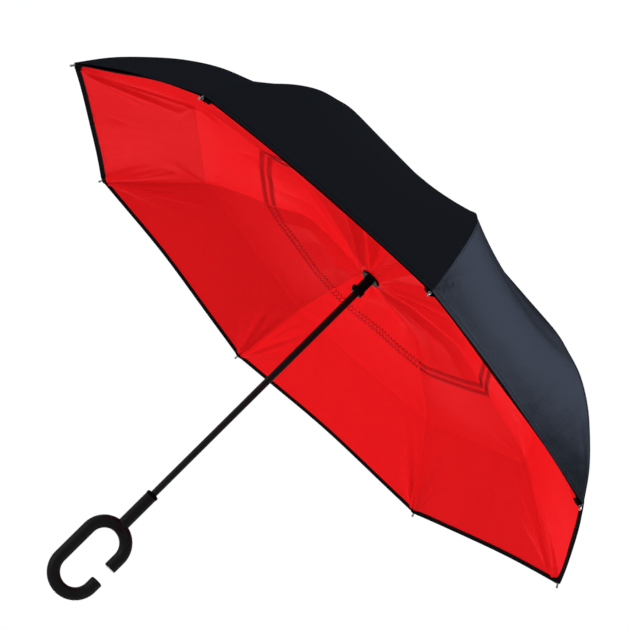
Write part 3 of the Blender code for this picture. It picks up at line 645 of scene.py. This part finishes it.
def zone(canopy, canopy_name, zone_name, rows, body_of, finishes, painted_shades, sewn=None,
         bound=False):
    """Cut one zone of a canopy into two pieces for each rib, which ride on one of its links."""
    for rib in range(RIB_COUNT):
        for side, gore in ((1, rib), (-1, (rib - 1) % RIB_COUNT)):
            word = "left" if side > 0 else "right"
            name = f"{canopy_name}_{zone_name}_{rib + 1}_{word}"
            rows_sewn = sewn(canopy, gore, side) if sewn else ()
            piece = cloth_piece(name, canopy, gore, rows, side, finishes, painted_shades[gore], rows_sewn, bound)
            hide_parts(f"{canopy_name}_panel_{gore + 1}")
            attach(piece, f"{body_of}_{rib + 1}")
            fold_away(piece, canopy, rows)
            declare_cloth(canopy, rows, TONGUE if bound else 0.0)


def outer_line(sizes):
    """Give the outer cloth's line over a rib, from the crown washer to 1 mm short of the tip's place."""
    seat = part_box("top_notch")[1].z + CLAMP_GAP
    corner = (sizes.canopy_radius - 0.0010, sizes.rim_height)
    return np.vstack([(CLAMP_RADIUS, seat), smooth_line(sizes, OUTER_LINE, corner)])


def inner_line(sizes):
    """Give the inner cloth's line under a rib, from the runner to the corner."""
    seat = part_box("runner_hub")[0].z - CLAMP_GAP
    over = outer_line(sizes)
    last, corner = over[-1 - LINE_STEPS], over[-1]
    along = (corner - last) / np.linalg.norm(corner - last)
    under = corner + np.array([along[1], -along[0]]) * CORNER_GAP
    return np.vstack([(CLAMP_RADIUS, seat), smooth_line(sizes, INNER_LINE), under])


def outer_canopy(sizes):
    """Shape the outer cloth."""
    return Canopy(sizes, outer_line(sizes), OUTER_BULGE, KNEE_SHARE * sizes.canopy_radius, 1, black_folds,
                  OUTER_MESH_STEP)


def rosette(name, body, edge, finish, node, bore):
    """Lay the flat ring of cloth that is clamped round the shaft, with the canopy sewn to its edge."""
    steps = 64
    flat = math.cos(GORE / 2)
    places = []
    # The edge has a side for each gore, as the canopy's own first row has, and overlaps it by 2%.
    for out, sided in ((bore, False), (edge[0] * 0.8, False), (edge[0] * 1.02 / flat, True)):
        for i in range(steps):
            turn = math.tau * i / steps
            side = math.cos((turn + GORE / 2) % GORE - GORE / 2)
            reach = out * (flat / side if sided else 1)
            places.append((reach * math.cos(turn), reach * math.sin(turn), edge[1]))
    piece = mesh_object(name, places, ring_faces(3, steps), [finish])
    piece.data.shade_smooth()
    set_painted_shade(piece.data, 1.0)
    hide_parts(node)
    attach(piece, body)


def ring_rows(canopy, gore, side):
    """Sew the double zigzag ring of the inner canopy over half a gore."""
    sizes = canopy.sizes
    stations = np.interp([share * sizes.canopy_radius for share in RING_SHARES], canopy.line[:, 0],
                         canopy.stations)
    return [sewn_row(canopy, gore, station, side, 0.012, sizes.stitch_pitch / 2,
                     swing=sizes.stitch_width / 2) for station in stations]


def hem_rows(canopy, gore, side):
    """Sew the hem's straight row over half a gore, with a finer thread that shows for 0.7 of its pitch."""
    station = canopy.total - canopy.sizes.hem_depth * HEM_STITCH
    return [sewn_row(canopy, gore, station, side, 0.004, HEM_PITCH, gap=0.15, fineness=0.6)]


class UMBRELLA_OT_outer_canopy(bpy.types.Operator):
    """Stretch the black outer canopy over the ribs"""
    bl_idname = "umbrella.outer_canopy"
    bl_label = "Outer canopy"

    def execute(self, context):
        sizes, colours = chosen(context)
        cloth = pongee("Black polyester pongee", colours.outer_cloth, roughness=0.40, gloss=0.0105,
                       gloss_tint=(0.60, 0.72, 1.0), spread=0.10)
        thread = sewing_thread("Black sewing thread", colours.mouldings)
        canopy = outer_canopy(sizes)
        zone(canopy, "outer", "crown", canopy.upper, "strut", [cloth], EVEN_PAINTED_SHADES)
        zone(canopy, "outer", "skirt", canopy.lower, "rib", [cloth, thread],
             EVEN_PAINTED_SHADES, hem_rows)
        rosette("outer_rosette", "root", canopy.line[0], cloth, "outer_panel_1",
                bore=0.0062)
        return {"FINISHED"}


class UMBRELLA_OT_inner_canopy(bpy.types.Operator):
    """Stretch the red inner canopy under the ribs, with its hem and its double zigzag ring"""
    bl_idname = "umbrella.inner_canopy"
    bl_label = "Inner canopy"

    def execute(self, context):
        sizes, colours = chosen(context)
        cloth = pongee("Red polyester pongee", colours.inner_cloth, roughness=0.30, gloss=0.011,
                       gloss_tint=(1.0, 0.14, 0.16), spread=0.04)
        hem = pongee("Black hem binding", colours.hem_cloth, roughness=0.6, gloss=0.002,
                     gloss_tint=(0.9, 0.9, 1.0), spread=0.08)
        ring_thread = sewing_thread("Dark red sewing thread", colours.ring_thread)
        black_thread = sewing_thread("Black hem thread", colours.mouldings)
        knuckle = KNUCKLE_SHARE * sizes.canopy_radius
        canopy = Canopy(sizes, inner_line(sizes), INNER_BULGE, knuckle, -1, red_folds, INNER_MESH_STEP,
                        lies_on=outer_canopy(sizes))
        zone(canopy, "inner", "hub", canopy.upper, "arm", [cloth, ring_thread],
             RED_HUB_PAINTED_SHADES, ring_rows)
        zone(canopy, "inner", "skirt", canopy.lower, "rib",
             [cloth, black_thread, hem], RED_SKIRT_PAINTED_SHADES, hem_rows, bound=True)
        rosette("inner_rosette", "runner", canopy.line[0], cloth, "inner_panel_1",
                bore=0.0090)
        return {"FINISHED"}


def dress(nodes, finish):
    """Give CAD nodes a better finish and keep their shapes."""
    for name in nodes:
        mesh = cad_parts[name].data
        mesh.materials.clear()
        mesh.materials.append(finish)


class UMBRELLA_OT_links(bpy.types.Operator):
    """Finish the top struts, the lower arms, the outer ribs and their tips"""
    bl_idname = "umbrella.links"
    bl_label = "Ribs, struts and tips"

    def execute(self, context):
        colours = context.scene.umbrella_colours
        paint = painted_steel("Black painted rib steel", colours.paint)
        plate = plated_metal("Nickel-plated tip", colours.plating, roughness=0.22)
        ribs = range(1, RIB_COUNT + 1)
        dress([f"{kind}_{k}" for kind in ("top_strut", "lower_arm", "outer_rib") for k in ribs], paint)
        dress([f"rib_tip_{k}" for k in ribs], plate)
        return {"FINISHED"}


class UMBRELLA_OT_shaft(bpy.types.Operator):
    """Finish the shaft, the crown and the runner"""
    bl_idname = "umbrella.shaft"
    bl_label = "Shaft, crown and runner"

    def execute(self, context):
        colours = context.scene.umbrella_colours
        paint = painted_steel("Black painted shaft steel", colours.paint)
        nylon = moulding("Black moulded nylon", colours.mouldings, roughness=0.42, grain_mm=0.4,
                         depth=0.1, specular=0.004)
        wire = plated_metal("Drawn hinge wire", colours.plating, roughness=0.3)
        dress(["shaft"], paint)
        dress(["top_notch", "crown_cap", "canopy_washer", "runner_sleeve", "runner_hub", "release_button",
               "neck_collar"], nylon)
        dress(["notch_wire", "runner_wire", "button_spring"], wire)
        return {"FINISHED"}


def grip_centres(sizes):
    """Give the centre line of the C, from the mouth's upper end round to its lower end."""
    half_wide = (sizes.grip_width - sizes.grip_diameter) / 2
    half_straight = (sizes.grip_height - sizes.grip_diameter) / 2 - half_wide
    upper = sizes.mouth_gap / 2 - sizes.mouth_drop
    lower = -sizes.mouth_gap / 2 - sizes.mouth_drop
    points = [(half_wide, up) for up in np.linspace(upper, half_straight, 5)[:-1]]
    for height, start in ((half_straight, 0), (-half_straight, math.pi)):
        for angle in np.linspace(start, start + math.pi, 49):
            points.append((math.cos(angle) * half_wide, math.sin(angle) * half_wide + height))
    points += [(half_wide, up) for up in np.linspace(-half_straight, lower, 8)[1:]]
    return [Vector((out, 0, up)) for out, up in points]


def round_bar(centres, radius, sides=36, fillet=0.0022):
    """Sweep a round bar along a line in the XZ plane, with its end edges rounded over."""
    rounded = [(fillet * (1 - math.cos(turn)), radius - fillet * (1 - math.sin(turn)))
               for turn in (math.pi / 2 * i / 6 for i in range(7))]
    first, last = (centres[1] - centres[0]).normalized(), (centres[-2] - centres[-1]).normalized()
    rings = [(centres[0] + first * into, first, reach) for into, reach in rounded]
    for before, here, after in zip(centres, centres[1:], centres[2:]):
        rings.append((here, (after - before).normalized(), radius))
    rings += [(centres[-1] + last * into, -last, reach) for into, reach in reversed(rounded)]
    places = []
    for middle, along, reach in rings:
        side = Vector((-along.z, 0, along.x))
        for i in range(sides):
            turn = math.tau * i / sides
            places.append(middle + (side * math.cos(turn) + Vector((0, 1, 0)) * math.sin(turn)) * reach)
    faces = ring_faces(len(rings), sides)
    faces.append(tuple(range(sides))[::-1])
    faces.append(tuple(range(len(places) - sides, len(places))))
    return places, faces


def turned(profile, sides):
    """Turn a profile of (radius, height) round the shaft's axis."""
    places = []
    for reach, height in profile:
        for i in range(sides):
            turn = math.tau * i / sides
            places.append(Vector((reach * math.cos(turn), reach * math.sin(turn), height)))
    return places, ring_faces(len(profile), sides)


class UMBRELLA_OT_grip(bpy.types.Operator):
    """Finish the C-shaped grip"""
    bl_idname = "umbrella.grip"
    bl_label = "Grip"

    def execute(self, context):
        sizes, colours = chosen(context)
        coat = moulding("Soft-touch rubber coating", colours.grip_coat, roughness=0.5, grain_mm=0.5,
                        depth=0.15, specular=0.08)
        places, faces = round_bar(grip_centres(sizes), sizes.grip_diameter / 2)
        # The neck flares by 3.5 mm over its lowest 12 mm, and ends in a soft edge round the shaft's bore.
        half = sizes.neck_diameter / 2
        low, high = sizes.grip_height / 2 - sizes.grip_diameter * 0.75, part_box("handle_grip")[1].z
        neck = [(half + 0.0035 * (1 - t) ** 3, low + 0.012 * t) for t in (0, 0.25, 0.5, 0.75, 1)]
        neck += [(half, high - 0.0008), (half - 0.0002, high - 0.0002), (half - 0.0008, high),
                 (0.0056, high)]
        more, rings = turned(neck, sides=48)
        piece = mesh_object("grip_moulding", places + more, faces + shifted(rings, len(places)), [coat])
        piece.data.shade_smooth()
        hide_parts("handle_grip")
        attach(piece, "root")
        return {"FINISHED"}


def area_lamp(name, place, target, size, power, along=(0, 0, 1)):
    """Add one soft lamp aimed at a point, with its length turned along a line."""
    data = bpy.data.lights.new(name, "AREA")
    data.shape = "RECTANGLE"
    data.size, data.size_y = size
    data.energy = power
    back = (Vector(place) - Vector(target)).normalized()
    side = back.cross(Vector(along)).normalized()
    set_axes(add_object(name, data), place, (back.cross(side), -side, back))


def seen_or_mirrored(tree):
    """Give 1 for rays that the eye sees, straight, in gloss or through glass, and 0 for the rest."""
    path = add_node(tree, "ShaderNodeLightPath")
    shown = path.outputs["Is Camera Ray"]
    for ray in ("Is Glossy Ray", "Is Transmission Ray"):
        shown = add_node(tree, "ShaderNodeMath", None, {0: shown, 1: path.outputs[ray]},
                         operation="MAXIMUM").outputs["Value"]
    return shown


def white_surroundings(colour_of, strength):
    """Make a world of the backdrop's full colour where it is seen, and of a soft light elsewhere."""
    world = bpy.data.worlds.new("Soft white studio")
    bpy.context.scene.world = world
    world.use_nodes = True
    tree = world.node_tree
    tree.nodes.clear()
    shown = seen_or_mirrored(tree)
    soft = add_node(tree, "ShaderNodeBackground", {"Color": (*colour_of, 1), "Strength": strength})
    full = add_node(tree, "ShaderNodeBackground", {"Color": (*colour_of, 1), "Strength": 1.0})
    mix = add_node(tree, "ShaderNodeMixShader", None,
                   {0: shown, 1: soft.outputs["Background"], 2: full.outputs["Background"]})
    add_node(tree, "ShaderNodeOutputWorld", None, {"Surface": mix.outputs["Shader"]})


def photo_camera(sizes):
    """Place the camera at the photograph's view: from below the rim plane, rolled by 45 degrees."""
    azimuth, elevation, roll = (math.radians(angle) for angle in VIEW_ANGLES)
    radius = sizes.canopy_radius
    back = Vector((math.sin(azimuth) * math.cos(elevation), -math.cos(azimuth) * math.cos(elevation),
                   math.sin(elevation)))
    right = (-back).cross(Vector((0, 0, 1))).normalized()
    up = right.cross(-back)
    across = right * math.cos(roll) + up * math.sin(roll)
    upward = up * math.cos(roll) - right * math.sin(roll)
    place = (back * VIEW_DISTANCE + across * VIEW_SHIFT[0] + upward * VIEW_SHIFT[1]) * radius
    place += Vector((0, 0, sizes.rim_height))
    data = bpy.data.cameras.new("Photo view")
    data.sensor_width = 36.0
    data.lens = data.sensor_width * VIEW_FOCUS
    data.clip_start, data.clip_end = 0.1, 60.0
    camera = add_object("Photo view", data)
    set_axes(camera, place, (across, upward, back))
    bpy.context.scene.camera = camera


class UMBRELLA_OT_stage(bpy.types.Operator):
    """Set the white floor, the soft lamps and the camera"""
    bl_idname = "umbrella.stage"
    bl_label = "Stage"

    def execute(self, context):
        sizes, colours = chosen(context)
        white = colours.backdrop
        white_surroundings(white, 0.35)
        material, tree, output = blank_material("Matt white floor")
        grey = (*(0.9 * channel for channel in white), 1)
        matt = add_node(tree, "ShaderNodeBsdfDiffuse", {"Color": grey})
        # To the eye the floor is mostly its own even white. The rest takes the lamps and the shadow.
        even = add_node(tree, "ShaderNodeEmission", {"Color": (*white, 1), "Strength": 0.9})
        share = add_node(tree, "ShaderNodeMath", {1: 0.7}, {0: seen_or_mirrored(tree)},
                         operation="MULTIPLY")
        pale = add_node(tree, "ShaderNodeMixShader", None,
                        {0: share.outputs["Value"], 1: matt.outputs["BSDF"], 2: even.outputs["Emission"]})
        clear = add_node(tree, "ShaderNodeBsdfTransparent")
        side = add_node(tree, "ShaderNodeNewGeometry")
        # From below the floor is clear, so that the object can be looked at from there.
        mix = add_node(tree, "ShaderNodeMixShader", None,
                       {0: side.outputs["Backfacing"], 1: pale.outputs["Shader"], 2: clear.outputs["BSDF"]})
        tree.links.new(mix.outputs["Shader"], output.inputs["Surface"])
        corners = [(x * FLOOR_REACH, y * FLOOR_REACH, FLOOR_LEVEL)
                   for x, y in ((-1, -1), (1, -1), (1, 1), (-1, 1))]
        mesh_object("floor", corners, [(0, 1, 2, 3)], [material])
        # Each has its place, the point it is aimed at, its size in metres and its power in watts.
        centre = (0, 0, sizes.rim_height)
        area_lamp("Key softbox", (1.4, 0.75, 3.3), (0.15, -0.3, 0.6), (2.9, 0.6), 75,
                  along=(-0.32, 0.78, -0.26))
        area_lamp("Back softbox", (0.9, 3.2, -0.8), centre, (2.0, 1.2), 100)
        area_lamp("Left softbox", (-3.2, -1.0, -0.5), centre, (1.6, 1.6), 66)
        area_lamp("Right softbox", (3.2, -1.4, -0.3), centre, (1.6, 1.6), 18)
        photo_camera(sizes)
        context.scene.view_settings.view_transform = "Standard"
        return {"FINISHED"}


OPERATORS = (UMBRELLA_OT_outer_canopy, UMBRELLA_OT_inner_canopy, UMBRELLA_OT_links, UMBRELLA_OT_shaft,
             UMBRELLA_OT_grip, UMBRELLA_OT_stage)


class UMBRELLA_PT_panel(bpy.types.Panel):
    """Lists the umbrella's sizes, colours and pieces"""
    bl_idname = "UMBRELLA_PT_panel"
    bl_label = "Umbrella"
    bl_space_type = "VIEW_3D"
    bl_region_type = "UI"
    bl_category = "Umbrella"

    def draw(self, context):
        for group in chosen(context):
            box = self.layout.box()
            for name in group.__annotations__:
                box.prop(group, name)
        for operator in OPERATORS:
            self.layout.operator(operator.bl_idname)


CLASSES = (UmbrellaSizes, UmbrellaColours) + OPERATORS + (UMBRELLA_PT_panel,)


def register():
    """Register the classes and hang the two property groups on the scene."""
    for item in CLASSES:
        bpy.utils.register_class(item)
    bpy.types.Scene.umbrella_sizes = bpy.props.PointerProperty(type=UmbrellaSizes)
    bpy.types.Scene.umbrella_colours = bpy.props.PointerProperty(type=UmbrellaColours)


def unregister():
    """Take the property groups and the classes away again."""
    del bpy.types.Scene.umbrella_colours
    del bpy.types.Scene.umbrella_sizes
    for item in reversed(CLASSES):
        bpy.utils.unregister_class(item)


def main():
    register()
    for operator in OPERATORS:
        group, name = operator.bl_idname.split(".")
        getattr(getattr(bpy.ops, group), name)()


if __name__ == "__main__":
    main()
